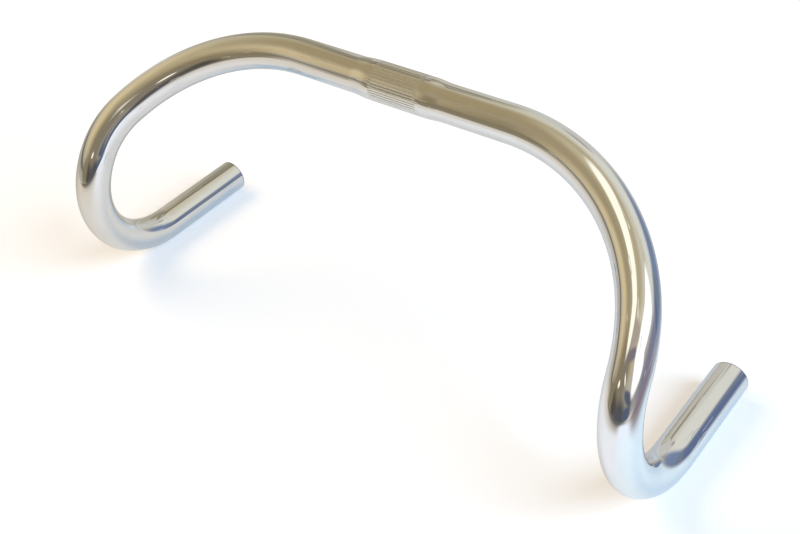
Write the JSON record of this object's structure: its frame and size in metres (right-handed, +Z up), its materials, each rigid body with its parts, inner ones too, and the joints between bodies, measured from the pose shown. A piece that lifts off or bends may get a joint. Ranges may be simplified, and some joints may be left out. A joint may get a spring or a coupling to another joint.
{
  "type": "track drop handlebar",
  "caption": "Polished aluminium drop handlebar for a track bicycle, with a knurled clamp section and deep round hooks.",
  "frame": {"origin": "middle of the clamp section, on the tube's centre line", "axes": "+X along the clamp section to the rider's right, hooks reach forward towards -Y, the drops' open ends point back towards +Y, +Z up"},
  "size_m": [0.4488, 0.1449, 0.1852],
  "materials": {
    "polished_aluminium": "polished"
  },
  "bodies": {
    "root": {"handlebar": "polished_aluminium"}
  },
  "joints": []
}
